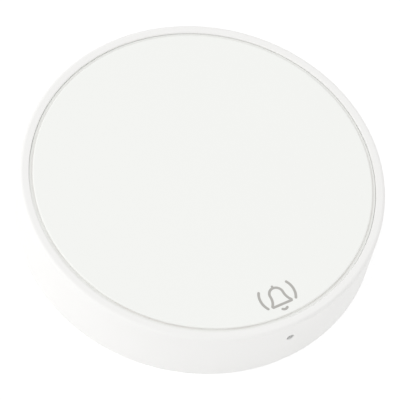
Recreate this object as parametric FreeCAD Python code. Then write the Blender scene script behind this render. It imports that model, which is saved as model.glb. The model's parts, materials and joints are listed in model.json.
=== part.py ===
import FreeCAD, Part
import math
import os

from FreeCAD import Vector

# Panic button: a round puck with a press plate that fills its top face.
# Millimetres. The origin is the centre of the underside, +Z leaves through the press plate,
# and the lamp hole faces -Y.

# Outline
body_radius = 35.0
wall = 1.85
rim_rounding = 0.7
rim_inner_rounding = 0.2
foot_rounding = 0.35
cap_gap = 0.05
groove_width = 0.65
groove_depth = 0.45
cap_edge_rounding = 0.25

# Heights, each resting on the one before, from the mounting surface up to the press plate
pad_proud = 0.3
cover_floor = 1.5
cell_clearance = 0.3
cell_thickness = 5.0
contact_height = 0.4
board_thickness = 1.0
switch_height = 3.0
plunger_gap = 0.05
plunger_length = 1.0
cap_thickness = 1.45
press_travel = 0.5

# Front housing
board_standoff = 1.2
deck_thickness = 1.1
deck_opening_radius = 5.5
deck_rib_depth = 0.7
deck_rib_width = 1.0
deck_rib_inner_radius = 8.0
deck_rib_count = 6
opening_rib_wall = 1.0

# Bayonet between the rear cover and the front housing
cover_gap = 0.25
lug_count = 3
lug_arc = 14.0
lug_reach = 1.4
lug_height = 1.1
lug_gap = 0.35
lug_play = 0.3
first_lug_angle = 90.0
ledge_height = 1.0
ledge_clearance = 0.3
ledge_lead = 1.5
stop_play = 0.6
stop_arc = 2.5
collar_wall = 1.2

# Rear cover
pad_recess = 0.5
pad_radius = 16.2
pad_clearance = 0.3
screw_spacing = 44.0
screw_slot_radius = 2.2
screw_slot_length = 7.0
screw_head_radius = 3.6
screw_seat_depth = 0.5
cover_rib_count = 8
cover_rib_width = 0.9
cover_rib_height = 1.1
cover_rib_inner_radius = 15.5
mark_depth = 0.3
mark_length = 2.4
mark_width = 1.8
mark_inset = 1.3

# Press plate
skirt_wall = 1.2
skirt_depth = 0.9
plunger_radius = 2.2
cap_rib_depth = 0.8
cap_rib_width = 0.9
cap_rib_inner_ring = 12.0
cap_rib_spring_gap = 2.0
cap_rib_count = 6

# Guide posts, springs and the wells that hold them
post_count = 3
first_post_angle = 30.0
post_circle_radius = 20.5
post_radius = 1.2
post_running_gap = 0.1
post_reach = 0.6
post_board_gap = 0.5
well_clearance = 0.3
well_floor = 0.8
well_wall = 0.8
well_gap = 0.4
spring_mean_radius = 1.9
spring_wire = 0.4
spring_turns = 3
spring_wire_sides = 6
coil_points_per_turn = 60
spring_play = 0.02

# Snap hooks that keep the press plate in the housing
hook_count = 3
first_hook_angle = 90.0
hook_inset = 3.8
hook_thickness = 1.0
hook_width = 5.0
hook_reach = 0.9
hook_nose_height = 0.7
hook_nose_lead = 0.4
hook_gap = 0.1
hook_flex = 1.0
hook_side_gap = 0.4
hook_outer_gap = 0.3

# Circuit board and its screws
board_hook_gap = 0.1
board_screw_angle = 55.0
board_screw_inset = 3.2
screw_shank_radius = 0.75
screw_shank_gap = 0.05
board_screw_gap = 0.25
screw_head_radius_small = 1.6
screw_head_height = 1.1
screw_bite = 0.7
pilot_spare = 0.3
boss_radius = 2.2

# Coin cell, its holder and contacts
cell_radius = 12.25
cell_cap_inset = 1.05
cell_cap_height = 0.5
cell_rounding = 0.3
holder_gap = 0.25
holder_wall = 1.1
holder_lift = 0.6
finger_notch_angle = 90.0
finger_notch_arc = 50.0
holder_contact_arc = 34.0
holder_peg_radius = 0.6
holder_peg_gap = 0.1
holder_peg_rise = 0.4
contact_thickness = 0.2
contact_arm_count = 3
first_arm_angle = 90.0
contact_arm_length = 7.5
contact_arm_width = 3.0
contact_bump_radius = 1.0
side_contact_thickness = 0.3
side_contact_angle = 270.0
side_contact_arc = 22.0
side_contact_foot = 1.6
side_contact_lift = 0.8

# Key switch under the plunger
switch_side = 6.0
switch_base_height = 2.0
switch_pocket_radius = 2.35
switch_pocket_floor = 0.6
switch_cover_thickness = 0.25
switch_ear_height = 1.2
switch_ear_width = 3.0
stem_radius = 1.6
stem_gap = 0.15
stem_flange_radius = 2.1
stem_flange_height = 0.5
stem_flange_drop = 0.05
dome_thickness = 0.12
dome_radius = 2.2
dome_clearance = 0.03
terminal_thickness = 0.2
terminal_width = 0.7
terminal_reach = 1.2
terminal_rise = 0.8
terminal_spacing = 4.5

# Radio module on the underside of the board
radio_length = 13.0
radio_width = 9.0
radio_thickness = 0.8
radio_holder_gap = 0.7
shield_length = 10.4
shield_width = 7.0
shield_height = 1.6
shield_thickness = 0.2

# Status lamp and the light pipe in the wall
lamp_length = 3.2
lamp_depth = 1.5
lamp_height = 1.2
lamp_gap = 0.25
lamp_lug_length = 0.9
lamp_lug_width = 0.8
lamp_lug_height = 0.3
pipe_radius = 0.74
pipe_fit = 0.04
pipe_recess = 0.5
pipe_flange_radius = 1.05
pipe_flange_length = 0.8
pipe_body_radius = 0.85
pipe_lamp_gap = 0.15
pipe_boss_width = 4.0
pipe_boss_depth = 1.2
pipe_boss_drop = 1.2
lamp_pocket_depth = 0.6

# Small parts on the underside of the board
chip_circle_radius = 17.5
chip_count = 5
chip_step = 6.0
capacitor_first_angle = 210.0
capacitor_length = 1.6
capacitor_width = 0.8
capacitor_height = 0.8
resistor_first_angle = 306.0
resistor_length = 1.6
resistor_width = 0.8
resistor_height = 0.45
crystal_angle = 292.0
crystal_length = 3.2
crystal_width = 1.5
crystal_height = 0.8
store_angle = 249.0
store_length = 6.0
store_width = 3.2
store_height = 1.6
store_rounding = 0.3

# Heights that follow from the stack
cover_bottom = pad_proud
cover_top = cover_bottom + cover_floor
cell_bottom = cover_top + cell_clearance
cell_top = cell_bottom + cell_thickness
board_bottom = cell_top + contact_height
board_top = board_bottom + board_thickness
stem_top = board_top + switch_height
plunger_bottom = stem_top + plunger_gap
cap_bottom = plunger_bottom + plunger_length
cap_top = cap_bottom + cap_thickness
deck_bottom = board_top + board_standoff
deck_top = deck_bottom + deck_thickness
ledge_bottom = cover_top + ledge_clearance
ledge_top = ledge_bottom + ledge_height
lug_bottom = ledge_top + lug_play
lug_top = lug_bottom + lug_height
well_bottom = board_top + well_clearance
spring_seat = well_bottom + well_floor
hook_nose_top = deck_bottom - hook_gap
lamp_level = board_top + lamp_height / 2
groove_floor = cap_top - groove_depth

# Radii that follow from the outline
opening_radius = body_radius - wall
cap_radius = opening_radius - cap_gap
cap_face_radius = opening_radius - groove_width
cover_radius = opening_radius - cover_gap
lug_outer_radius = opening_radius - lug_gap
collar_outer_radius = lug_outer_radius - lug_reach
collar_inner_radius = collar_outer_radius - collar_wall
ledge_inner_radius = collar_outer_radius + lug_gap
hook_outer_radius = cap_radius - hook_inset
hook_inner_radius = hook_outer_radius - hook_thickness
board_radius = hook_inner_radius - hook_flex - board_hook_gap
board_screw_circle = board_radius - board_screw_inset
well_inner_radius = spring_mean_radius + spring_wire / 2 + well_gap
well_outer_radius = well_inner_radius + well_wall
cap_rib_outer_ring = post_circle_radius + spring_mean_radius + spring_wire / 2 + cap_rib_spring_gap
cell_cap_radius = cell_radius - cell_cap_inset
holder_inner_radius = cell_radius + holder_gap
holder_outer_radius = holder_inner_radius + holder_wall
radio_front = holder_outer_radius + radio_holder_gap
lamp_front = -board_radius


def disc(radius, low, high):
    """Upright cylinder on the Z axis between two heights."""
    return Part.makeCylinder(radius, high - low, Vector(0, 0, low))


def ring(inner, outer, low, high):
    """Tube on the Z axis between two heights."""
    return disc(outer, low, high).cut(disc(inner, low, high))


def sector(inner, outer, low, high, first, last):
    """Part of a tube between two angles in degrees."""
    corners = [Vector(inner, 0, low), Vector(outer, 0, low), Vector(outer, 0, high), Vector(inner, 0, high)]
    face = Part.Face(Part.makePolygon(corners + corners[:1]))
    solid = face.revolve(Vector(0, 0, 0), Vector(0, 0, 1), last - first)
    return turned(solid, first)


def block(x_low, x_high, y_low, y_high, z_low, z_high):
    """Box between two corners."""
    return Part.makeBox(x_high - x_low, y_high - y_low, z_high - z_low, Vector(x_low, y_low, z_low))


def turned(shape, angle):
    """Copy of a shape turned about the Z axis by an angle in degrees."""
    copy = shape.copy()
    copy.rotate(Vector(0, 0, 0), Vector(0, 0, 1), angle)
    return copy


def moved(shape, x, y, z=0.0):
    """Copy of a shape moved by x, y and z."""
    copy = shape.copy()
    copy.translate(Vector(x, y, z))
    return copy


def upright(radius, x, y, low, high):
    """Upright cylinder away from the Z axis."""
    return Part.makeCylinder(radius, high - low, Vector(x, y, low))


def polar(radius, angle):
    """X and Y of a point at a radius and an angle in degrees."""
    return radius * math.cos(math.radians(angle)), radius * math.sin(math.radians(angle))


def spread(count, first):
    """Angles of a number of things spread evenly round a circle."""
    return [first + 360.0 * index / count for index in range(count)]


def rounded_face(corners):
    """Face in the XZ plane from corners of radius, height and rounding."""
    points = [Vector(radius, 0, height) for radius, height, rounding in corners]
    edges = []
    ends = []
    for index, (radius, height, rounding) in enumerate(corners):
        corner = points[index]
        back = (points[index - 1] - corner).normalize()
        ahead = (points[(index + 1) % len(points)] - corner).normalize()
        if rounding == 0:
            ends.append((corner, corner))
            continue
        half = back.getAngle(ahead) / 2
        start = corner + back * (rounding / math.tan(half))
        end = corner + ahead * (rounding / math.tan(half))
        middle = corner + (back + ahead).normalize() * (rounding / math.sin(half) - rounding)
        edges.append(Part.Arc(start, middle, end).toShape())
        ends.append((start, end))
    for index in range(len(ends)):
        edges.append(Part.LineSegment(ends[index - 1][1], ends[index][0]).toShape())
    return Part.Face(Part.Wire(Part.__sortEdges__(edges)))


def revolved(corners):
    """Solid of revolution about the Z axis from a rounded outline."""
    return rounded_face(corners).revolve(Vector(0, 0, 0), Vector(0, 0, 1), 360)


def fused(first, *others):
    """One solid from pieces that overlap or share faces."""
    return first.fuse(list(others)).removeSplitter()


def arc_edge(start, direction, end):
    """Arc that leaves start along a direction and reaches end."""
    chord = end - start
    side = (chord - direction * chord.dot(direction)).normalize()
    radius = chord.dot(chord) / (2 * chord.dot(side))
    centre = start + side * radius
    middle = centre + ((start - centre) + (end - centre)).normalize() * radius
    return Part.Arc(start, middle, end).toShape()


def biarc_edges(start, start_direction, end, end_direction):
    """Two arcs that join two points smoothly, with a direction given at both."""
    chord = end - start
    turning = 2 * (1 - start_direction.dot(end_direction))
    along = chord.dot(start_direction + end_direction)
    reach = (math.sqrt(along * along + turning * chord.dot(chord)) - along) / turning
    joint = (start + end + (start_direction - end_direction) * reach) * 0.5
    first = arc_edge(start, start_direction, joint)
    second = arc_edge(end, end_direction * -1, joint)
    return [first, second]


def coil_point(turn, low, high):
    """Point and direction on a coil's centre line after a number of turns."""
    climb = (high - low) / spring_turns
    x, y = polar(spring_mean_radius, 360 * turn)
    direction = Vector(-y, x, climb / (2 * math.pi))
    return Vector(x, y, low + climb * turn), direction.normalize()


def wire_section(point, direction):
    """Flat-sided outline of the spring wire, square to a direction, its corners at the wire's radius."""
    outward = Vector(point.x, point.y, 0).normalize()
    corner = outward * (spring_wire / 2)
    corners = []
    for angle in spread(spring_wire_sides, 0):
        corners.append(point + FreeCAD.Rotation(direction, angle).multVec(corner))
    return Part.makePolygon(corners + corners[:1])


def least_gap(path):
    """Least distance of a coiled wire to itself, measured on points at least half a turn apart."""
    half_turn = coil_points_per_turn // 2
    points = path.discretize(coil_points_per_turn * spring_turns)
    nearest = min(
        (other - point).Length
        for index, point in enumerate(points)
        for other in points[index + half_turn:]
    )
    return nearest - spring_wire


def make_spring():
    """Compression spring standing on the Z axis between its seat and the press plate."""
    low = spring_seat + spring_wire / 2
    high = cap_bottom - spring_play - spring_wire / 2
    edges = []
    for half_turn in range(2 * spring_turns):
        start, start_direction = coil_point(half_turn / 2, low, high)
        end, end_direction = coil_point((half_turn + 1) / 2, low, high)
        edges += biarc_edges(start, start_direction, end, end_direction)
    section = wire_section(*coil_point(0, low, high))
    path = Part.Wire(edges)
    print("least gap between the spring's turns", round(least_gap(path), 3))
    return path.makePipeShell([section], True, False)


def make_housing():
    """Front housing: ring wall, deck, wells, bosses, bayonet ledges and lamp boss in one moulding."""
    shell = revolved([
        (opening_radius, cover_bottom, 0),
        (body_radius, cover_bottom, foot_rounding),
        (body_radius, cap_top, rim_rounding),
        (opening_radius, cap_top, rim_inner_rounding),
        (opening_radius, deck_top, 0),
        (deck_opening_radius, deck_top, 0),
        (deck_opening_radius, deck_bottom, 0),
        (opening_radius, deck_bottom, 0),
    ])
    wall_middle = opening_radius + wall / 2
    rib_low = deck_bottom - deck_rib_depth
    added = [ring(deck_opening_radius, deck_opening_radius + opening_rib_wall, rib_low, deck_bottom)]
    rib_outer = hook_inner_radius - hook_flex - deck_rib_width
    rib_half = deck_rib_width / 2
    for angle in spread(deck_rib_count, 0):
        rib = block(deck_rib_inner_radius, rib_outer, -rib_half, rib_half, rib_low, deck_bottom)
        added.append(turned(rib, angle))
    for angle in spread(post_count, first_post_angle):
        place = polar(post_circle_radius, angle)
        added.append(upright(well_outer_radius, *place, well_bottom, deck_bottom))
    for x, y in board_screw_places():
        added.append(upright(boss_radius, x, y, board_top, deck_bottom))
    for angle in spread(lug_count, first_lug_angle):
        ledge_first = angle - lug_arc / 2 - ledge_lead
        stop_first = angle + lug_arc / 2 + stop_play
        stop_last = stop_first + stop_arc
        across = (ledge_inner_radius, wall_middle)
        added.append(sector(*across, ledge_bottom, ledge_top, ledge_first, stop_last))
        added.append(sector(*across, ledge_top, lug_top, stop_first, stop_last))
    boss_half = pipe_boss_width / 2
    boss_face = -(opening_radius - pipe_boss_depth)
    boss_low = lamp_level - pipe_boss_drop
    added.append(block(-boss_half, boss_half, -wall_middle, boss_face, boss_low, deck_bottom))
    housing = fused(shell, *added)
    cuts = []
    for angle in spread(post_count, first_post_angle):
        x, y = polar(post_circle_radius, angle)
        cuts.append(upright(well_inner_radius, x, y, spring_seat, deck_top))
        cuts.append(upright(post_radius + post_running_gap, x, y, well_bottom, spring_seat))
    pilot_top = board_top + board_standoff + screw_bite + pilot_spare
    for x, y in board_screw_places():
        cuts.append(upright(screw_shank_radius + screw_shank_gap, x, y, board_top, pilot_top))
    slot_half = hook_width / 2 + hook_side_gap
    slot_inner = hook_inner_radius - hook_flex
    slot_outer = hook_outer_radius + hook_outer_gap
    for angle in spread(hook_count, first_hook_angle):
        slot = block(slot_inner, slot_outer, -slot_half, slot_half, deck_bottom, deck_top)
        cuts.append(turned(slot, angle))
    cuts.append(lamp_bore())
    cuts.append(lamp_pocket())
    return housing.cut(cuts)


def lamp_bore():
    """Round hole from outside through the wall and the lamp boss."""
    length = wall + pipe_boss_depth + pipe_recess
    start = Vector(0, -(body_radius + pipe_recess), lamp_level)
    return Part.makeCylinder(pipe_radius + pipe_fit, length, start, Vector(0, 1, 0))


def lamp_pocket():
    """Hollow in the deck's underside over the lamp and the light pipe."""
    half = lamp_length / 2 + lamp_lug_length + lamp_gap
    front = -(opening_radius - pipe_boss_depth)
    back = lamp_front + lamp_depth + lamp_gap
    return block(-half, half, front, back, deck_bottom, deck_bottom + lamp_pocket_depth)


def board_screw_places():
    """X and Y of the four board screws."""
    angles = [board_screw_angle, 180 - board_screw_angle, 180 + board_screw_angle, -board_screw_angle]
    return [polar(board_screw_circle, angle) for angle in angles]


def make_cap():
    """Press plate with its guide band, ribs, plunger, guide posts and snap hooks.

    The guide band runs in the ring, a step below the face, and is the floor of the groove round the face.
    """
    skirt_bottom = cap_bottom - skirt_depth
    plate = revolved([
        (0, cap_bottom, 0),
        (cap_radius - skirt_wall, cap_bottom, 0),
        (cap_radius - skirt_wall, skirt_bottom, 0),
        (cap_radius, skirt_bottom, 0),
        (cap_radius, groove_floor, 0),
        (cap_face_radius, groove_floor, 0),
        (cap_face_radius, cap_top, cap_edge_rounding),
        (0, cap_top, 0),
    ])
    rib_low = cap_bottom - cap_rib_depth
    added = [disc(plunger_radius, plunger_bottom, cap_bottom)]
    added.append(ring(cap_rib_inner_ring, cap_rib_inner_ring + cap_rib_width, rib_low, cap_bottom))
    added.append(ring(cap_rib_outer_ring, cap_rib_outer_ring + cap_rib_width, rib_low, cap_bottom))
    rib_half = cap_rib_width / 2
    for angle in spread(cap_rib_count, 0):
        rib = block(cap_rib_inner_ring, cap_rib_outer_ring, -rib_half, rib_half, rib_low, cap_bottom)
        added.append(turned(rib, angle))
    for angle in spread(post_count, first_post_angle):
        place = polar(post_circle_radius, angle)
        added.append(upright(post_radius, *place, well_bottom - post_reach, cap_bottom))
    for angle in spread(hook_count, first_hook_angle):
        added.append(turned(make_hook(), angle))
    return fused(plate, *added)


def make_hook():
    """Snap hook on +X: an arm whose nose reaches outwards under the deck."""
    nose_bottom = hook_nose_top - hook_nose_height
    nose_edge = hook_outer_radius + hook_reach
    corners = [
        Vector(hook_inner_radius, 0, cap_bottom),
        Vector(hook_outer_radius, 0, cap_bottom),
        Vector(hook_outer_radius, 0, hook_nose_top),
        Vector(nose_edge, 0, hook_nose_top),
        Vector(nose_edge, 0, hook_nose_top - hook_nose_lead),
        Vector(hook_outer_radius, 0, nose_bottom),
        Vector(hook_inner_radius, 0, nose_bottom),
    ]
    face = Part.Face(Part.makePolygon(corners + corners[:1]))
    return moved(face.extrude(Vector(0, hook_width, 0)), 0, -hook_width / 2)


def make_cover():
    """Rear cover: round floor with ribs, collar, bayonet lugs, screw slots and a recess for the pad.

    The two ribs that would cross the screw slots are left out.
    """
    floor = disc(cover_radius, cover_bottom, cover_top)
    collar = ring(collar_inner_radius, collar_outer_radius, cover_top, lug_top)
    lug_root = collar_outer_radius - collar_wall / 2
    added = [collar]
    rib_half = cover_rib_width / 2
    for angle in spread(cover_rib_count, 0):
        if angle % 180 == 0:
            continue
        rib = block(
            cover_rib_inner_radius, collar_inner_radius + collar_wall / 2, -rib_half, rib_half,
            cover_top, cover_top + cover_rib_height,
        )
        added.append(turned(rib, angle))
    for angle in spread(lug_count, first_lug_angle):
        first = angle - lug_arc / 2
        added.append(sector(lug_root, lug_outer_radius, lug_bottom, lug_top, first, first + lug_arc))
    cover = fused(floor, *added)
    cuts = [disc(pad_radius + pad_clearance, cover_bottom, cover_bottom + pad_recess)]
    for side in (-1, 1):
        place = side * screw_spacing / 2
        cuts.append(moved(slot(screw_slot_radius, screw_slot_length, cover_bottom, cover_top), place, 0))
        head_length = screw_slot_length + 2 * (screw_head_radius - screw_slot_radius)
        seat = slot(screw_head_radius, head_length, cover_top - screw_seat_depth, cover_top)
        cuts.append(moved(seat, place, 0))
    cuts.append(make_lock_mark())
    return cover.cut(cuts)


def slot(radius, length, low, high):
    """Round-ended slot along X, centred on the Z axis."""
    reach = length / 2 - radius
    middle = block(-reach, reach, -radius, radius, low, high)
    return fused(middle, upright(radius, -reach, 0, low, high), upright(radius, reach, 0, low, high))


def make_lock_mark():
    """Sunk arrow head in the cover's underside, beside its front edge."""
    base = -(cover_radius - mark_inset - mark_length)
    tip = -(cover_radius - mark_inset)
    low = cover_bottom
    corners = [Vector(-mark_width / 2, base, low), Vector(mark_width / 2, base, low), Vector(0, tip, low)]
    face = Part.Face(Part.makePolygon(corners + corners[:1]))
    return face.extrude(Vector(0, 0, mark_depth))


def make_board():
    """Round circuit board with holes for posts, screws and holder pegs."""
    board = disc(board_radius, board_bottom, board_top)
    cuts = []
    for angle in spread(post_count, first_post_angle):
        place = polar(post_circle_radius, angle)
        cuts.append(upright(post_radius + post_board_gap, *place, board_bottom, board_top))
    for x, y in board_screw_places():
        cuts.append(upright(screw_shank_radius + board_screw_gap, x, y, board_bottom, board_top))
    for x in holder_peg_places():
        cuts.append(upright(holder_peg_radius + holder_peg_gap, x, 0, board_bottom, board_top))
    return board.cut(cuts)


def holder_peg_places():
    """X of the two pegs that locate the cell holder."""
    place = (holder_inner_radius + holder_outer_radius) / 2
    return [-place, place]


def make_board_screws():
    """The four screws that hold the board to the deck."""
    screws = []
    tip = board_top + board_standoff + screw_bite
    for x, y in board_screw_places():
        head = upright(screw_head_radius_small, x, y, board_bottom - screw_head_height, board_bottom)
        screws.append(fused(head, upright(screw_shank_radius, x, y, board_bottom, tip)))
    return Part.makeCompound(screws)


def make_cell():
    """Coin cell with its wide can below and its narrower cap above."""
    can_top = cell_top - cell_cap_height
    return revolved([
        (0, cell_bottom, 0),
        (cell_radius, cell_bottom, cell_rounding),
        (cell_radius, can_top, cell_rounding),
        (cell_cap_radius, can_top, 0),
        (cell_cap_radius, cell_top, 0),
        (0, cell_top, 0),
    ])


def make_holder():
    """Ring round the cell, open for a finger at the back and for the side contact in front."""
    low = cell_bottom + holder_lift
    holder = ring(holder_inner_radius, holder_outer_radius, low, board_bottom)
    notch_roof = (low + board_bottom) / 2
    finger_half = finger_notch_arc / 2
    gap_half = holder_contact_arc / 2
    across = (cell_cap_radius, radio_front)
    finger_angles = (finger_notch_angle - finger_half, finger_notch_angle + finger_half)
    gap_angles = (side_contact_angle - gap_half, side_contact_angle + gap_half)
    finger = sector(*across, low, notch_roof, *finger_angles)
    gap = sector(*across, low, board_bottom, *gap_angles)
    holder = holder.cut([finger, gap])
    peg_top = board_top + holder_peg_rise
    pegs = [upright(holder_peg_radius, x, 0, board_bottom, peg_top) for x in holder_peg_places()]
    return fused(holder, *pegs)


def make_cell_contact():
    """Sheet cross on the board whose three raised ends press on the cell's cap."""
    sheet_low = board_bottom - contact_thickness
    half = contact_arm_width / 2
    arms = []
    bumps = []
    for angle in spread(contact_arm_count, first_arm_angle):
        arms.append(turned(block(0, contact_arm_length, -half, half, sheet_low, board_bottom), angle))
        bump_place = polar(contact_arm_length - contact_bump_radius, angle)
        bumps.append(upright(contact_bump_radius, *bump_place, cell_top, sheet_low))
    return fused(arms[0], *arms[1:], *bumps)


def make_side_contact():
    """Bent strip against the side of the cell, with a foot on the board."""
    half_arc = side_contact_arc / 2
    angles = (side_contact_angle - half_arc, side_contact_angle + half_arc)
    low = cell_bottom + side_contact_lift
    foot_low = board_bottom - side_contact_thickness
    outer = cell_radius + side_contact_thickness
    strip = sector(cell_radius, outer, low, board_bottom, *angles)
    foot = sector(cell_radius, outer + side_contact_foot, foot_low, board_bottom, *angles)
    return fused(strip, foot)


def make_switch_base():
    """Square switch body with a round pocket for the dome and the stem's flange."""
    half = switch_side / 2
    base = block(-half, half, -half, half, board_top, board_top + switch_base_height)
    pocket_low = board_top + switch_pocket_floor
    return base.cut(disc(switch_pocket_radius, pocket_low, board_top + switch_base_height))


def dome_levels():
    """Foot and crown of the switch dome, which fills the room under the stem's flange."""
    foot = board_top + switch_pocket_floor
    flange_top = board_top + switch_base_height - stem_flange_drop
    crown = flange_top - stem_flange_height - dome_clearance
    return foot, crown


def make_dome():
    """Snap dome: a thin spherical cap on the pocket floor."""
    foot, crown = dome_levels()
    rise = crown - foot
    outer = (dome_radius ** 2 + rise ** 2) / (2 * rise)
    centre = Vector(0, 0, crown - outer)
    shell = Part.makeSphere(outer, centre).cut(Part.makeSphere(outer - dome_thickness, centre))
    keep = disc(dome_radius + dome_thickness, foot, crown + dome_thickness)
    return shell.common(keep)


def make_stem():
    """Stem that the plunger presses, with a flange that keeps it in the switch."""
    flange_top = board_top + switch_base_height - stem_flange_drop
    flange = disc(stem_flange_radius, flange_top - stem_flange_height, flange_top)
    return fused(flange, disc(stem_radius, flange_top, stem_top))


def make_switch_cover():
    """Sheet cover over the switch with an ear down two of its sides."""
    half = switch_side / 2
    low = board_top + switch_base_height
    high = low + switch_cover_thickness
    ear_half = switch_ear_width / 2
    edge = half + switch_cover_thickness
    plate = block(-half, half, -half, half, low, high)
    back_ear = block(-ear_half, ear_half, half, edge, low - switch_ear_height, high)
    front_ear = block(-ear_half, ear_half, -edge, -half, low - switch_ear_height, high)
    return fused(plate, back_ear, front_ear).cut(disc(stem_radius + stem_gap, low, high))


def make_terminals():
    """Four bent legs that stand on the board beside the switch."""
    inner = switch_side / 2
    half = terminal_width / 2
    foot = block(inner, inner + terminal_reach, -half, half, board_top, board_top + terminal_thickness)
    riser = block(inner, inner + terminal_thickness, -half, half, board_top, board_top + terminal_rise)
    leg = fused(foot, riser)
    legs = []
    for angle in (0, 180):
        for side in (-1, 1):
            legs.append(turned(moved(leg, 0, side * terminal_spacing / 2), angle))
    return Part.makeCompound(legs)


def make_radio_board():
    """Small board of the radio module, soldered under the circuit board behind the cell."""
    half = radio_length / 2
    low = board_bottom - radio_thickness
    return block(-half, half, radio_front, radio_front + radio_width, low, board_bottom)


def make_shield():
    """Open sheet can over the radio, set back from the aerial end."""
    half = shield_length / 2
    front = radio_front + shield_thickness
    high = board_bottom - radio_thickness
    low = high - shield_height
    can = block(-half, half, front, front + shield_width, low, high)
    inside = block(
        shield_thickness - half, half - shield_thickness,
        front + shield_thickness, front + shield_width - shield_thickness,
        low + shield_thickness, high,
    )
    return can.cut(inside)


def make_lamp():
    """Side-looking lamp on the board's front edge, with a soldered lug at each end."""
    half = lamp_length / 2
    lug_back = lamp_front + lamp_depth
    lug_front = lug_back - lamp_lug_width
    lug_top = board_top + lamp_lug_height
    body = block(-half, half, lamp_front, lug_back, board_top, board_top + lamp_height)
    right = block(half, half + lamp_lug_length, lug_front, lug_back, board_top, lug_top)
    left = block(-half - lamp_lug_length, -half, lug_front, lug_back, board_top, lug_top)
    return fused(body, right, left)


def make_light_pipe():
    """Clear rod from the lamp to the hole in the wall, with a flange against the boss."""
    tip = -(body_radius - pipe_recess)
    boss_face = -(opening_radius - pipe_boss_depth)
    flange_end = boss_face + pipe_flange_length
    back = lamp_front - pipe_lamp_gap
    along = Vector(0, 1, 0)
    front = Part.makeCylinder(pipe_radius, boss_face - tip, Vector(0, tip, lamp_level), along)
    flange_start = Vector(0, boss_face, lamp_level)
    flange = Part.makeCylinder(pipe_flange_radius, pipe_flange_length, flange_start, along)
    body_start = Vector(0, flange_end, lamp_level)
    body = Part.makeCylinder(pipe_body_radius, back - flange_end, body_start, along)
    return fused(front, flange, body)


def make_part_on_board(length, width, height, radius, angle):
    """Small block under the board, its length across the radius at an angle."""
    inner = radius - width / 2
    half = length / 2
    piece = block(inner, inner + width, -half, half, board_bottom - height, board_bottom)
    return turned(piece, angle)


def make_chip_row(length, width, height, first_angle):
    """Row of small blocks along an arc under the board."""
    chips = []
    for index in range(chip_count):
        angle = first_angle + index * chip_step
        chips.append(make_part_on_board(length, width, height, chip_circle_radius, angle))
    return Part.makeCompound(chips)


def make_crystal():
    """Metal-cased crystal that times the radio."""
    size = (crystal_length, crystal_width, crystal_height)
    return make_part_on_board(*size, chip_circle_radius, crystal_angle)


def make_capacitors():
    """Row of small ceramic capacitors."""
    return make_chip_row(capacitor_length, capacitor_width, capacitor_height, capacitor_first_angle)


def make_resistors():
    """Row of small resistors."""
    return make_chip_row(resistor_length, resistor_width, resistor_height, resistor_first_angle)


def make_store_capacitor():
    """Large capacitor that helps the cell when the radio sends."""
    piece = make_part_on_board(store_length, store_width, store_height, chip_circle_radius, store_angle)
    lowest = [edge for edge in piece.Edges if edge.BoundBox.ZMax < board_bottom - store_height / 2]
    return piece.makeFillet(store_rounding, lowest)


def write(name, shape):
    """One STEP file for one node, with its volume printed."""
    print(name, "solids", len(shape.Solids), "volume", round(shape.Volume, 3), "valid", shape.isValid())
    shape.exportStep(os.path.join("parts", name + ".step"))


os.makedirs("parts", exist_ok=True)

write("rear_cover", make_cover())
write("adhesive_pad", disc(pad_radius, 0, cover_bottom + pad_recess))
write("front_housing", make_housing())
write("button_cap", make_cap())
write("light_pipe", make_light_pipe())
write("status_led", make_lamp())
write("circuit_board", make_board())
write("board_screws", make_board_screws())
write("coin_cell", make_cell())
write("battery_holder", make_holder())
write("negative_contact", make_cell_contact())
write("positive_contact", make_side_contact())
write("switch_base", make_switch_base())
write("switch_dome", make_dome())
write("switch_stem", make_stem())
write("switch_cover", make_switch_cover())
write("switch_terminals", make_terminals())
write("radio_board", make_radio_board())
write("radio_shield", make_shield())
write("timing_crystal", make_crystal())
write("storage_capacitor", make_store_capacitor())
write("chip_capacitors", make_capacitors())
write("chip_resistors", make_resistors())

coil = make_spring()
for number, spring_angle in enumerate(spread(post_count, first_post_angle), 1):
    write("return_spring_%d" % number, moved(coil, *polar(post_circle_radius, spring_angle)))

spring_room = cap_bottom - press_travel - spring_seat
print("overall height", cap_top, "diameter", 2 * body_radius)
print("spring length pressed", round(spring_room, 3), "solid length", spring_wire * (spring_turns + 1))
print("plate to deck pressed", round(cap_bottom - skirt_depth - press_travel - deck_top, 3))
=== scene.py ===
# %% [markdown]
# A panic button is a flat round puck. Almost its whole top is one press plate, and a narrow groove parts
# the plate from the ring-shaped housing. This lesson dresses the measured model of that puck: every solid
# is already in place, in metres, and each step gives it a finish or adds a piece too fine for the solid
# model.

# %% Load the measured model
import json
import math

import bmesh
import bpy
import numpy as np
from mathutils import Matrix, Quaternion, Vector

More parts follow.
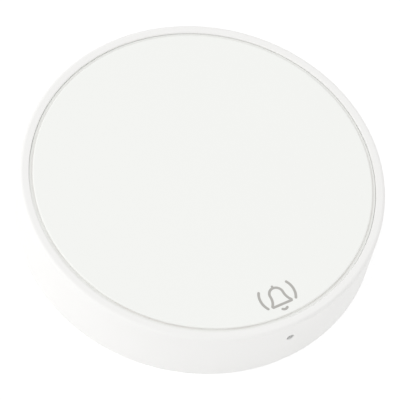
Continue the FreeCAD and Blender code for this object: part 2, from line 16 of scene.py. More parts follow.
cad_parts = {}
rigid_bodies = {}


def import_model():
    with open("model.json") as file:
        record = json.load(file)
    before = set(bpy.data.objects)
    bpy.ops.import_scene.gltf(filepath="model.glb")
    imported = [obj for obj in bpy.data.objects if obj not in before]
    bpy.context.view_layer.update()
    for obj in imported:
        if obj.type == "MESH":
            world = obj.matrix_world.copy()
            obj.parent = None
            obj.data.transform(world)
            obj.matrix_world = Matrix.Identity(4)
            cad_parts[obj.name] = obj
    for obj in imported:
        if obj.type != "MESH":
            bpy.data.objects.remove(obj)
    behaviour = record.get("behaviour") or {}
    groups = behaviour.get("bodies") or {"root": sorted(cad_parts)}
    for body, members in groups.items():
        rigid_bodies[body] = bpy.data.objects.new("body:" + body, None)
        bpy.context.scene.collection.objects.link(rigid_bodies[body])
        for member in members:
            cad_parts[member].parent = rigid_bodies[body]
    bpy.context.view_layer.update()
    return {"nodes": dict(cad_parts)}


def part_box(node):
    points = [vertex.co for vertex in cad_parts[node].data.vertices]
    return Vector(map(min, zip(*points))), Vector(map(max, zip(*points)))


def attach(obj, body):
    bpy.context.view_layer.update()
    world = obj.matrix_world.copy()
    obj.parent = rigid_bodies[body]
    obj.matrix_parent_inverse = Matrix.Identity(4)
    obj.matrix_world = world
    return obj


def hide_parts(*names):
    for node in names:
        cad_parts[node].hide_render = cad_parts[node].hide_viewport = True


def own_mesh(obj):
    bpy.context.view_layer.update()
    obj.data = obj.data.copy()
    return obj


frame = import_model()
nodes = frame["nodes"]

# %% [markdown]
# Sizes are easier to read in millimetres, while the scene is in metres, so one factor turns one into the
# other. The heights that later steps need are read from the solids, so that a piece stays on what carries
# it.

# %% Sizes read from the solids
MM = 0.001


def reach(node, axis):
    """Lowest and highest coordinate of a solid along one axis, in millimetres."""
    low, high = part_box(node)
    return getattr(low, axis) / MM, getattr(high, axis) / MM


def turned(x, y, angle):
    """Flat place turned about the origin by an angle in degrees."""
    cosine, sine = math.cos(math.radians(angle)), math.sin(math.radians(angle))
    return x * cosine - y * sine, x * sine + y * cosine


cap_top = reach("button_cap", "z")[1]
board_bottom, board_top = reach("circuit_board", "z")
print("plate top", round(cap_top, 2), "board", round(board_bottom, 2), "to", round(board_top, 2), "mm")

# %% [markdown]
# The camera repeats the photograph's view. It looks down steeply from the front left through a long lens,
# which keeps the ellipse of the plate nearly regular, and it is turned a little about its own axis. The
# puck isn't in the middle of the picture, so the camera aims beside the centre of its foot. Turning the
# camera does that, and leaves the lens shift at zero.

# %% Camera at the photograph's angle
view_azimuth, view_elevation, view_roll = math.radians(-40.5), math.radians(58.34), math.radians(13.85)
view_distance, view_lens = 538.9 * MM, 250.3
aim_right, aim_up = 1.07 * MM, 2.86 * MM


def add_object(name, data, location=(0, 0, 0), turn=None):
    """Object in the scene at a place, turned by a quaternion where one is given."""
    made = bpy.data.objects.new(name, data)
    made.location = location
    if turn is not None:
        made.rotation_mode = "QUATERNION"
        made.rotation_quaternion = turn
    bpy.context.scene.collection.objects.link(made)
    return made


towards_camera = Vector((
    math.sin(view_azimuth) * math.cos(view_elevation),
    -math.cos(view_azimuth) * math.cos(view_elevation),
    math.sin(view_elevation),
))
roll = Quaternion((0, 0, 1), view_roll)
level_view = (-towards_camera).to_track_quat("-Z", "Y") @ roll
aim = level_view @ Vector((aim_right, aim_up, 0))
view_point = towards_camera * view_distance

camera = bpy.data.cameras.new("camera")
camera.lens = view_lens
camera.clip_start, camera.clip_end = 0.01, 20
view_turn = (aim - view_point).to_track_quat("-Z", "Y") @ roll
bpy.context.scene.camera = add_object("camera", camera, view_point, view_turn)
print("camera at", [round(value, 3) for value in view_point])

# %% [markdown]
# Shader trees are made of nodes and links. A small builder keeps each material to a few lines: it adds a
# node, sets plain numbers on its sockets, and links what is given as a socket. The other helpers name what
# the materials ask for often, such as soft noise of one size or the distance to the puck's axis.

# %% Node builder
def feed(tree, node, inputs):
    """Sets a node's inputs. Each name or number leads to a plain value or to another node's socket."""
    for name, value in inputs.items():
        if isinstance(value, bpy.types.NodeSocket):
            tree.links.new(value, node.inputs[name])
        else:
            node.inputs[name].default_value = value


def add_node(tree, kind, inputs=None, **settings):
    """One shader node with its settings and inputs."""
    made = tree.nodes.new(kind)
    for name, value in settings.items():
        setattr(made, name, value)
    feed(tree, made, inputs or {})
    return made


def calculate(tree, operation, *values, clamp=False):
    """Socket with the result of one sum on numbers or sockets."""
    inputs = dict(enumerate(values))
    return add_node(tree, "ShaderNodeMath", inputs, operation=operation, use_clamp=clamp).outputs[0]


def span(tree, value, low, high, out_low=0.0, out_high=1.0, kind="SMOOTHSTEP"):
    """Socket that goes from one number to another while a value goes from low to high."""
    inputs = {"Value": value, "From Min": low, "From Max": high, "To Min": out_low, "To Max": out_high}
    return add_node(tree, "ShaderNodeMapRange", inputs, interpolation_type=kind).outputs["Result"]


def mix_colours(tree, share, first, second):
    """Socket with two colours mixed by a share."""
    return add_node(tree, "ShaderNodeMix", {0: share, 6: first, 7: second}, data_type="RGBA").outputs[2]


def object_place(tree):
    """Socket with each point's place in the object's own axes."""
    return add_node(tree, "ShaderNodeTexCoord").outputs["Object"]


def coordinate(tree, axis, vector=None):
    """Socket with one coordinate of the object's place or of another vector."""
    return add_node(tree, "ShaderNodeSeparateXYZ", {0: vector or object_place(tree)}).outputs[axis]


def stretched(tree, factors):
    """Socket with the object's place, each coordinate times a factor."""
    inputs = {0: object_place(tree), 1: factors}
    return add_node(tree, "ShaderNodeVectorMath", inputs, operation="MULTIPLY").outputs[0]


def axis_distance(tree, factor=1.0):
    """Socket with the distance to the vertical axis in metres, times a factor."""
    flat = stretched(tree, (factor, factor, 0))
    return add_node(tree, "ShaderNodeVectorMath", {0: flat}, operation="LENGTH").outputs["Value"]


def noise(tree, size, detail=2.0, roughness=0.5, place=None):
    """Socket with soft noise whose lumps are about one size across: millimetres, or a socket with them."""
    if isinstance(size, bpy.types.NodeSocket):
        scale = calculate(tree, "DIVIDE", 0.5 / MM, size)
    else:
        scale = 0.5 / MM / size
    place = place or object_place(tree)
    inputs = {"Vector": place, "Scale": scale, "Detail": detail, "Roughness": roughness}
    return add_node(tree, "ShaderNodeTexNoise", inputs).outputs["Fac"]


def from_screen(red, green, blue):
    """Linear colour from the 0 to 255 values that a screen shows."""
    shares = np.array([red, green, blue]) / 255
    linear = np.where(shares <= 0.04045, shares / 12.92, ((shares + 0.055) / 1.055) ** 2.4)
    return (*linear.tolist(), 1.0)


# %% [markdown]
# An effect that several materials share is a node group with named sockets. It is built once, and each
# material places it with its own numbers. Each group for a whole surface puts out a colour, a roughness and
# a height.

# %% Helpers for node groups
VALUE, COLOUR, VECTOR = "NodeSocketFloat", "NodeSocketColor", "NodeSocketVector"
SKIN = [("Colour", COLOUR), ("Roughness", VALUE), ("Height", VALUE)]


def new_group(name, inputs, outputs):
    """Empty node group with named sockets: inputs are (name, kind, default), outputs are (name, kind)."""
    tree = bpy.data.node_groups.new(name, "ShaderNodeTree")
    for label, kind, default in inputs:
        tree.interface.new_socket(label, in_out="INPUT", socket_type=kind).default_value = default
    for label, kind in outputs:
        tree.interface.new_socket(label, in_out="OUTPUT", socket_type=kind)
    return tree, tree.nodes.new("NodeGroupInput").outputs, tree.nodes.new("NodeGroupOutput")


def close_group(tree, outs, values):
    """The group, with its results linked to its outputs."""
    feed(tree, outs, values)
    print("group", tree.name, len(tree.nodes), "nodes")
    return tree


def place_group(tree, group, inputs):
    """Outputs of a node group that is placed in a material with its own values."""
    return add_node(tree, "ShaderNodeGroup", inputs, node_tree=group).outputs


# %% [markdown]
# Moulded plastic is never one flat colour. The mould is spark-eroded to a fine grain, the melt cools
# unevenly and leaves faint cloudy tones, and the sheen drifts with it. The effect could be painted on an
# image, but a node group that works on the object's own place needs no unwrapping and stays sharp from
# near. Every plastic here uses the same group with its own grain size and strength.

# %% Group for moulded plastic
cloud_size, cloud_grey = 9, (0.55, 0.54, 0.52, 1)

tree, ins, outs = new_group("moulded skin", [
    ("Colour", COLOUR, (0.8, 0.8, 0.8, 1)), ("Cloud", VALUE, 0.02), ("Grain size", VALUE, 0.12),
    ("Sheen low", VALUE, 0.35), ("Sheen high", VALUE, 0.5),
], SKIN)
clouds = noise(tree, cloud_size, detail=3.0)
shade = calculate(tree, "SUBTRACT", clouds, 0.5)
darker = calculate(tree, "MULTIPLY_ADD", shade, ins["Cloud"], ins["Cloud"], clamp=True)
moulded_skin = close_group(tree, outs, {
    "Colour": mix_colours(tree, darker, ins["Colour"], cloud_grey),
    "Roughness": span(tree, clouds, 0.3, 0.7, ins["Sheen low"], ins["Sheen high"], kind="LINEAR"),
    "Height": noise(tree, ins["Grain size"], roughness=0.6),
})

# %% [markdown]
# Round parts shine and darken in rings: the inner corner of a groove gets painted shade, and a foam disc
# is pressed thin at its rim. One group turns the distance from the vertical axis into a soft band between
# two radii.

# %% Group for a ring-shaped band
tree, ins, outs = new_group("ring band", [
    ("Inner mm", VALUE, 10.0), ("Outer mm", VALUE, 12.0), ("Soft mm", VALUE, 0.5),
], [("Mask", VALUE)])
distance = axis_distance(tree, 1 / MM)
past_inner = calculate(tree, "SUBTRACT", distance, ins["Inner mm"])
before_outer = calculate(tree, "SUBTRACT", ins["Outer mm"], distance)
inner_share, outer_share = (
    calculate(tree, "DIVIDE", way_in, ins["Soft mm"], clamp=True) for way_in in (past_inner, before_outer)
)
ring_band = close_group(tree, outs, {"Mask": calculate(tree, "MULTIPLY", inner_share, outer_share)})


def ring_mask(tree, inner, outer, soft):
    """Socket that is 1 between two radii and falls to 0 over a soft width inside them, in millimetres."""
    inputs = {"Inner mm": inner, "Outer mm": outer, "Soft mm": soft}
    return place_group(tree, ring_band, inputs)["Mask"]


# %% [markdown]
# Sheet and wire come out of rolls and dies with fine lines along one direction, and plating leaves a soft
# mottle. Stretching noise along one axis gives such lines. The group takes the stretch as a vector, so
# sheet, cans and screws each get their own direction.

# %% Group for rolled and plated metal
mottle_size, line_roughness = 1.5, 0.1
tarnish_share, tarnish_brown = 0.35, (0.32, 0.29, 0.25, 1)

tree, ins, outs = new_group("rolled metal", [
    ("Colour", COLOUR, (0.6, 0.6, 0.6, 1)), ("Stretch", VECTOR, (1, 8, 1)), ("Line mm", VALUE, 0.08),
    ("Polish", VALUE, 0.22), ("Mottle", VALUE, 0.12),
], SKIN)
lines = noise(tree, ins["Line mm"], detail=3.0, place=stretched(tree, ins["Stretch"]))
mottle = noise(tree, mottle_size, detail=4.0)
dulled = calculate(tree, "MULTIPLY_ADD", mottle, ins["Mottle"], ins["Polish"])
tarnish = span(tree, mottle, 0.45, 0.75, 0.0, tarnish_share)
rolled_metal = close_group(tree, outs, {
    "Colour": mix_colours(tree, tarnish, ins["Colour"], tarnish_brown),
    "Roughness": calculate(tree, "MULTIPLY_ADD", lines, line_roughness, dulled),
    "Height": lines,
})

# %% [markdown]
# A material is a Principled shader fed by one of these groups. Numbers that are the same all over stay on
# the shader's own sockets, and only what varies over the surface is linked.

# %% Plastic and metal materials
def new_material(name):
    """Empty node material: its tree, its Principled shader, and the material."""
    material = bpy.data.materials.new(name)
    material.use_nodes = True
    return material.node_tree, material.node_tree.nodes["Principled BSDF"], material


def add_bump(tree, shader, height, depth):
    """Bump on the shader from a height of 0 to 1, a depth in millimetres deep."""
    bump = add_node(tree, "ShaderNodeBump", {"Height": height, "Distance": depth * MM, "Strength": 1.0})
    feed(tree, shader, {"Normal": bump.outputs["Normal"]})


def skin_material(name, group, inputs, depth, metallic=0.0):
    """Material whose colour, roughness and bump come from a group."""
    tree, shader, material = new_material(name)
    skin = place_group(tree, group, inputs)
    feed(tree, shader, {"Base Color": skin["Colour"], "Roughness": skin["Roughness"], "Metallic": metallic})
    add_bump(tree, shader, skin["Height"], depth)
    return material


def plastic(name, colour, grain=0.12, depth=0.002, cloud=0.02, sheen=(0.38, 0.5)):
    """Moulded plastic in one colour, its grain given by size and depth in millimetres."""
    low, high = sheen
    inputs = {"Colour": colour, "Cloud": cloud, "Grain size": grain, "Sheen low": low, "Sheen high": high}
    return skin_material(name, moulded_skin, inputs, depth)


def metal(name, colour, stretch=(1, 8, 1), line=0.08, polish=0.22, mottle=0.12, depth=0.001):
    """Rolled, drawn or plated metal in one colour, its lines given by width and depth in millimetres."""
    inputs = {"Colour": colour, "Stretch": stretch, "Line mm": line, "Polish": polish, "Mottle": mottle}
    return skin_material(name, rolled_metal, inputs, depth, metallic=1.0)


def dress(material, *names):
    """Gives a material to measured solids."""
    for name in names:
        slots = nodes[name].data.materials
        slots.clear()
        slots.append(material)
    print(material.name, "on", *names)
    return material


# %% [markdown]
# The housing and the plate are the same warm white ABS, moulded in two tools, so their whites differ a
# little. A groove 0.65 mm wide runs round the plate's face. Its inner corner, at the foot of the face's
# edge,
# is painted a patchy grey: painted shade, where the groove's corner lies in shadow. The ring group marks
# that corner and the height keeps it off the face.

# %% White shell
dress(plastic("housing white", from_screen(245, 244.5, 243), sheen=(0.34, 0.44)), "front_housing")
cap_white = dress(plastic("cap white", from_screen(246, 247, 244), sheen=(0.36, 0.46)), "button_cap")

groove_shade_ring = (32.35, 32.85, 0.15)
groove_shade_full, groove_shade_end = cap_top - 0.4, cap_top - 0.1
groove_shade_thin, groove_shade_thick, groove_shade_patch = 0.08, 0.2, 4
groove_shade_grey = (0.44, 0.34, 0.33, 1)

# Painted shade: a patchy grey mixed into the plate's colour in the groove's inner corner, below the face.
tree = cap_white.node_tree
shader = tree.nodes["Principled BSDF"]
corner = ring_mask(tree, *groove_shade_ring)
sunk = span(tree, coordinate(tree, "Z"), groove_shade_full * MM, groove_shade_end * MM, 1.0, 0.0)
uneven = span(tree, noise(tree, groove_shade_patch), 0.3, 0.7, groove_shade_thin, groove_shade_thick)
groove_shade_share = calculate(tree, "MULTIPLY", calculate(tree, "MULTIPLY", corner, sunk), uneven)
unshaded_colour = shader.inputs["Base Color"].links[0].from_socket
feed(tree, shader, {"Base Color": mix_colours(tree, groove_shade_share, unshaded_colour, groove_shade_grey)})

# %% [markdown]
# Pieces too fine for the solid model are surfaces worked out as arrays. Each surface is a grid of points,
# rows by columns, and every cell of the grid is one quad. A grid that closes on itself repeats its first
# line at the end, and a pole repeats one point, so points that coincide are merged and the faces are turned
# outward.

# %% Pieces from grids of points
def make_piece(name, grids, material, body="housing", sharp=30):
    """One object from grids of points in millimetres. Edges sharper than an angle in degrees stay sharp."""
    faces, start = [], 0
    for grid in grids:
        rows, columns = grid.shape[:2]
        index = np.arange(start, start + rows * columns).reshape(rows, columns)
        start += rows * columns
        cells = np.stack([index[:-1, :-1], index[1:, :-1], index[1:, 1:], index[:-1, 1:]], axis=-1)
        faces.append(cells.reshape(-1, 4))
    points = np.concatenate([grid.reshape(-1, 3) for grid in grids]) * MM
    mesh = bpy.data.meshes.new(name)
    mesh.from_pydata(points, [], np.concatenate(faces))
    work = bmesh.new()
    work.from_mesh(mesh)
    bmesh.ops.remove_doubles(work, verts=work.verts, dist=0.0005 * MM)
    bmesh.ops.recalc_face_normals(work, faces=work.faces)
    work.to_mesh(mesh)
    work.free()
    mesh.shade_smooth()
    mesh.set_sharp_from_angle(angle=math.radians(sharp))
    mesh.materials.append(material)
    piece = add_object(name, mesh)
    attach(piece, body)
    print(name, len(mesh.polygons), "faces")
    return piece


# %% [markdown]
# Three coil springs push the plate back up. Each is wound from round music wire with one closed turn at
# both ends, so that it stands flat in its well. The measured model has a plain coil of the same size for
# the physics, and this piece stands in for it. A curve with a bevel could draw it too, but circles carried
# along a path close its ends as half balls.

# %% Return springs
spring_radius, spring_wire = 1.9, 0.4
spring_turns, closed_turns, closed_pitch = 4.4, 1.0, 1.02
post_circle, post_angles = 20.5, (30, 150, 270)
spring_low, spring_high = reach("return_spring_1", "z")


def tube(path, radius, corners=14):
    """Round tube along a path of points.

    Around each point lies a circle of one radius, square to the path. At both ends the circles shrink along
    a quarter circle to a point, so the end is a half ball.
    """
    along = np.gradient(path, axis=0)
    along /= np.linalg.norm(along, axis=1, keepdims=True)
    bend = np.linspace(0, math.pi / 2, 5)
    shift = radius * np.cos(bend)[:, None]
    centres = np.concatenate([path[0] - along[0] * shift, path, path[-1] + along[-1] * shift[::-1]])
    along = np.concatenate([np.repeat(along[:1], 5, axis=0), along, np.repeat(along[-1:], 5, axis=0)])
    radii = radius * np.concatenate([np.sin(bend), np.ones(len(path)), np.sin(bend)[::-1]])
    across = np.cross(along, (0, 0, 1))
    across /= np.linalg.norm(across, axis=1, keepdims=True)
    upward = np.cross(across, along)
    turn = np.linspace(0, 2 * math.pi, corners + 1)[None, :, None]
    ring = np.cos(turn) * across[:, None] + np.sin(turn) * upward[:, None]
    return centres[:, None] + radii[:, None, None] * ring


def spring_path(angle, steps_per_turn=44):
    """Centre line of a spring: a circle that climbs by one wire per turn at both ends, evenly between."""
    turn = np.linspace(0, spring_turns, int(spring_turns * steps_per_turn))
    foot, head = spring_low + spring_wire / 2, spring_high - spring_wire / 2
    closed_rise = closed_pitch * spring_wire * closed_turns
    height = np.interp(
        turn, [0, closed_turns, spring_turns - closed_turns, spring_turns],
        [foot, foot + closed_rise, head - closed_rise, head],
    )
    x, y = turned(post_circle, 0, angle)
    across = x + spring_radius * np.cos(2 * math.pi * turn)
    upward = y + spring_radius * np.sin(2 * math.pi * turn)
    return np.stack([across, upward, height], axis=1)


spring_steel = metal("spring steel", (0.6, 0.6, 0.61, 1), stretch=(1, 1, 6), line=0.05, polish=0.18)
for number, angle in enumerate(post_angles, 1):
    coil = tube(spring_path(angle), spring_wire / 2)
    spring = make_piece("spring_wire_%d" % number, [coil], spring_steel, sharp=80)
    dress(spring_steel, "return_spring_%d" % number)
    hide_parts("return_spring_%d" % number)
    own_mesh(spring)

# %% [markdown]
# Four self-tapping screws hold the board. A screw is one profile turned about its own axis, with two
# changes that depend on the angle as well: a cross is sunk in the middle of the head, and the shank swells
# and shrinks along a helix, which makes the thread.

# %% Board screws
screw_circle, screw_angles = 24.0, (55, 125, 235, 305)
head_radius, head_fall, head_curve = 1.6, 0.75, 0.92
core_radius, thread_radius, thread_pitch, thread_slope = 0.56, 0.74, 0.55, 1.6
run_in_share, tip_share = 0.05, 0.16
cross_half_width, cross_wall, cross_reach, cross_ramp, cross_depth = 0.2, 0.06, 0.95, 0.5, 0.55
screw_low, screw_tip = reach("board_screws", "z")


def screw_surface(x, y):
    """One screw, head down, from a profile of radius and height carried round its axis.

    Rows go from the head's centre over its domed face, round its rim and up the shank to the tip. The cross
    is deepest at the centre and ends where the distance from both of its lines passes half its width. The
    thread adds a ridge that repeats once per pitch and climbs one pitch per turn.
    """
    face = np.sin(np.linspace(0, 1, 26) * math.pi / 2)
    face_height = screw_low + head_fall * (1 - np.sqrt(1 - (head_curve * face) ** 2))
    shank = np.linspace(0, 1, 90)
    shank_height = board_bottom + shank * (screw_tip - board_bottom)
    taper = np.clip((1 - shank) / tip_share, 0, 1)
    radius = np.concatenate([head_radius * face, [head_radius, core_radius], core_radius * taper])
    height = np.concatenate([face_height, [board_bottom, board_bottom], shank_height])
    turn = np.linspace(0, 2 * math.pi, 61)
    radius, turn_grid = np.meshgrid(radius, turn, indexing="ij")
    height = np.repeat(height[:, None], len(turn), axis=1)
    on_shank = np.zeros(len(height))
    on_shank[-len(shank):] = np.clip(shank / run_in_share, 0, 1) * taper
    phase = height / thread_pitch - turn_grid / (2 * math.pi)
    ridge = np.clip(1 - thread_slope * (1 - np.abs(2 * (phase % 1) - 1)), 0, 1)
    radius = radius + (thread_radius - core_radius) * ridge * on_shank[:, None]
    across, upward = radius * np.cos(turn_grid), radius * np.sin(turn_grid)
    near, far = np.sort(np.abs([across, upward]), axis=0)
    cross = np.clip((cross_half_width - near) / cross_wall, 0, 1)
    cross *= np.clip((cross_reach - far) / cross_ramp, 0, 1)
    cross[len(face):] = 0
    return np.stack([x + across, y + upward, height + cross_depth * cross], axis=-1)


zinc_steel = metal("zinc steel", (0.58, 0.59, 0.6, 1), stretch=(1, 1, 1), line=0.2, polish=0.25, mottle=0.2)
screw_grids = [screw_surface(*turned(screw_circle, 0, angle)) for angle in screw_angles]
screws = make_piece("cross_head_screws", screw_grids, zinc_steel, sharp=45)
dress(zinc_steel, "board_screws")
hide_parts("board_screws")

# %% [markdown]
# Printed signs and copper tracks are films of a few hundredths of a millimetre. A bump or an image could
# draw them, but a thin strip along a path has a real edge and stays sharp from near. Where strips cross,
# each reaches a little further out than the last, so that no two faces share a place.

# %% Strips along a path
def strip(path, width, low, high, closed=False):
    """Flat strip between two heights along a path, with half circles at its free ends.

    The section is a rectangle carried along the path. At a free end its half width falls along a quarter
    circle.
    """
    path = np.asarray(path, dtype=float)
    half_width = width / 2
    if closed:
        along = np.roll(path, -1, axis=0) - np.roll(path, 1, axis=0)
        half = np.full(len(path), half_width)
    else:
        steps = np.linalg.norm(np.diff(path, axis=0), axis=1)
        place = np.concatenate([[0], np.cumsum(steps)])
        ends = half_width * (1 - np.cos(np.linspace(0, math.pi / 2, 7)))
        middle = np.linspace(half_width, place[-1] - half_width, 2 * len(path))
        wanted = np.concatenate([ends[:-1], middle, place[-1] - ends[:-1][::-1]])
        path = np.stack([np.interp(wanted, place, path[:, axis]) for axis in (0, 1)], axis=1)
        along = np.gradient(path, axis=0)
        nearest_end = np.minimum(np.minimum(wanted, place[-1] - wanted), half_width)
        half = np.sqrt(half_width ** 2 - (half_width - nearest_end) ** 2)
    along /= np.linalg.norm(along, axis=1, keepdims=True)
    side = np.stack([-along[:, 1], along[:, 0]], axis=1) * half[:, None]
    if closed:
        path, side = np.concatenate([path, path[:1]]), np.concatenate([side, side[:1]])
    section = np.array([(-1, low), (-1, high), (1, high), (1, low), (-1, low)])
    flat = path[:, None] + section[None, :, :1] * side[:, None]
    height = np.repeat(section[None, :, 1:], len(path), axis=0)
    return np.concatenate([flat, height], axis=-1)


def film(paths, width, low, high, low_step=0.0, high_step=0.0, closed=False):
    """Strips along several paths, each one step lower or higher than the last."""
    return [
        strip(path, width, low - low_step * number, high + high_step * number, closed)
        for number, path in enumerate(paths)
    ]


def arc(x, y, radius, first, last, steps=40):
    """Points on an arc about a centre between two angles in degrees."""
    turn = np.radians(np.linspace(first, last, steps))
    return np.stack([x + radius * np.cos(turn), y + radius * np.sin(turn)], axis=1)


# %% [markdown]
# The sign is printed on the plate right above the lamp hole. It is a plain bell, which says alarm in any
# language, with a sound wave on each side. Its outline is a half circle whose sides flare towards the lip,
# and every stroke is a strip of ink.

# %% Bell sign
sign_centre = (0.15, -28.75)
stroke_width, ink_depth, ink_rise, ink_step = 0.5, 0.01, 0.012, 0.002
bell_radius, bell_shoulder, lip_drop, lip_flare = 1.35, 0.8, 2.3, 0.85
knob_gap, knob_height, clapper_drop, clapper_radius = 0.1, 0.6, 0.45, 0.7
wave_height, wave_radius, wave_half_angle = 0.5, 3.5, 36


def bell_side():
    """Side and top of a bell: a half circle, then sides that flare with a power of the drop below it."""
    dome = arc(0, bell_shoulder, bell_radius, 0, 180)
    drop = np.linspace(0, 1, 24)[1:]
    left = np.stack([-(bell_radius + lip_flare * drop ** 2.5), bell_shoulder - lip_drop * drop], axis=1)
    return np.concatenate([left[::-1] * (-1, 1), dome, left])


lip_half, lip_height = bell_radius + lip_flare, bell_shoulder - lip_drop
crown = bell_shoulder + bell_radius
strokes = [
    bell_side(),
    np.linspace((-lip_half, lip_height), (lip_half, lip_height), 20),
    arc(0, lip_height - clapper_drop, clapper_radius, 205, 335),
    np.array([(0, crown + knob_gap), (0, crown + knob_height)]),
    arc(0, wave_height, wave_radius, -wave_half_angle, wave_half_angle),
    arc(0, wave_height, wave_radius, 180 - wave_half_angle, 180 + wave_half_angle),
]
strokes = [path + sign_centre for path in strokes]
sign_grids = film(strokes, stroke_width, cap_top - ink_depth, cap_top + ink_rise, high_step=ink_step)
sign_ink = plastic("sign ink", from_screen(180, 178, 174), grain=0.05, depth=0.001, cloud=0.03)
make_piece("bell_sign", sign_grids, sign_ink, body="button")

# %% [markdown]
# Underneath, the rear cover comes from a coarser mould, because nobody looks at it. The pad is a foam tape:
# its skin shows small closed pores, sunk by a bump, and their centres are painted grey as painted shade.
# The die that cuts the disc presses its rim thin and a little darker.

# %% Rear cover and foam pad
cover_white = from_screen(238, 238, 234)
cover = plastic("cover white", cover_white, grain=0.3, depth=0.008, cloud=0.04, sheen=(0.5, 0.62))
dress(cover, "rear_cover")

pore_size, pore_depth, patch_size = 0.45, 0.05, 4
rim_ring, rim_dark = (15.4, 17.0, 0.5), 0.5
foam_pale, foam_dull = from_screen(226, 226, 220), from_screen(214, 213, 205)
pore_shade_grey, rim_grey = from_screen(190, 189, 182), from_screen(196, 194, 186)

tree, shader, foam = new_material("pad foam")
pore_inputs = {"Vector": object_place(tree), "Scale": 1 / (pore_size * MM), "Randomness": 1.0}
pit = span(tree, add_node(tree, "ShaderNodeTexVoronoi", pore_inputs).outputs["Distance"], 0.1, 0.5)
patches = noise(tree, patch_size)
rim_share = calculate(tree, "MULTIPLY", ring_mask(tree, *rim_ring), rim_dark)
foam_colour = mix_colours(tree, patches, foam_pale, foam_dull)
# Painted shade: the sunk centres of the pores are painted grey.
foam_colour = mix_colours(tree, pit, pore_shade_grey, foam_colour)
foam_colour = mix_colours(tree, rim_share, foam_colour, rim_grey)
feed(tree, shader, {"Base Color": foam_colour, "Roughness": span(tree, patches, 0.3, 0.7, 0.55, 0.8)})
add_bump(tree, shader, pit, pore_depth)
dress(foam, "adhesive_pad")

# %% [markdown]
# The light pipe and the lamp meet right behind the wall. The pipe is clear acrylic, so the hole looks like
# a small dark window. The lamp is a block of milky resin between two tinned lugs, and one mask on its
# length tells resin from metal.

# %% Light pipe and lamp
haze_size, milk_size, resin_half_length = 0.8, 0.5, 1.6
clear_pale, clear_blue = (0.86, 0.9, 0.91, 1), (0.78, 0.84, 0.86, 1)
resin_pale, resin_deep = from_screen(240, 226, 170), from_screen(232, 210, 130)
lug_grey = (0.6, 0.6, 0.58, 1)

tree, shader, clear_acrylic = new_material("clear acrylic")
haze = noise(tree, haze_size, detail=3.0)
feed(tree, shader, {
    "IOR": 1.49, "Transmission Weight": 0.75, "Base Color": mix_colours(tree, haze, clear_pale, clear_blue),
    "Roughness": span(tree, haze, 0.35, 0.7, 0.05, 0.2),
})
dress(clear_acrylic, "light_pipe")

tree, shader, lamp_resin = new_material("lamp resin and lugs")
sideways = calculate(tree, "ABSOLUTE", coordinate(tree, "X"))
lug = calculate(tree, "GREATER_THAN", sideways, resin_half_length * MM)
milk = noise(tree, milk_size)
resin = mix_colours(tree, milk, resin_pale, resin_deep)
feed(tree, shader, {
    "Base Color": mix_colours(tree, lug, resin, lug_grey), "Metallic": lug,
    "Roughness": span(tree, milk, 0.3, 0.7, 0.15, 0.32),
})
dress(lamp_resin, "status_led")

# %% [markdown]
# Both boards are laminate under a coloured solder mask. Woven glass shows through the mask as a fine square
# ripple, and the sawn edges are bare, so they are the straw colour of the resin. The group finds an edge by
# its normal, which lies flat there.

# %% Group for a masked circuit board
weave_green, edge_straw = (0.06, 0.2, 0.08, 1), (0.5, 0.42, 0.2, 1)
weave_share, cloud_share, mask_cloud_size = 0.25, 0.4, 5
edge_roughness, weave_depth = 0.4, 0.004

tree, ins, outs = new_group("board skin", [
    ("Mask colour", COLOUR, (0.02, 0.2, 0.08, 1)), ("Weave mm", VALUE, 0.5),
], SKIN)
pace = calculate(tree, "DIVIDE", 2 * math.pi / MM, ins["Weave mm"])
warp, weft = (
    calculate(tree, "SINE", calculate(tree, "MULTIPLY", coordinate(tree, axis), pace)) for axis in "XY"
)
weave = calculate(tree, "MULTIPLY_ADD", calculate(tree, "MULTIPLY", warp, weft), 0.5, 0.5)
cloudy = noise(tree, mask_cloud_size, detail=3.0)
tone = calculate(tree, "MULTIPLY_ADD", weave, weave_share, calculate(tree, "MULTIPLY", cloudy, cloud_share))
masked = mix_colours(tree, tone, ins["Mask colour"], weave_green)
facing = coordinate(tree, "Z", add_node(tree, "ShaderNodeTexCoord").outputs["Normal"])
on_edge = calculate(tree, "LESS_THAN", calculate(tree, "ABSOLUTE", facing), 0.5)
sheen = span(tree, cloudy, 0.3, 0.7, 0.22, 0.34)
board_skin = close_group(tree, outs, {
    "Colour": mix_colours(tree, on_edge, masked, edge_straw),
    "Roughness": calculate(tree, "MULTIPLY_ADD", on_edge, edge_roughness, sheen),
    "Height": weave,
})
for name, colour, solid in (
    ("green laminate", (0.008, 0.11, 0.035, 1), "circuit_board"),
    ("blue laminate", (0.01, 0.06, 0.16, 1), "radio_board"),
):
    dress(skin_material(name, board_skin, {"Mask colour": colour}, weave_depth), solid)

# %% [markdown]
# The rest of the inside is plain engineering plastic and sheet metal. Plastics differ by their colour,
# grain, cloud and sheen, and metals by their colour, the direction and width of their lines, and how
# polished they are. So two tables hold the numbers, one row for each finish.

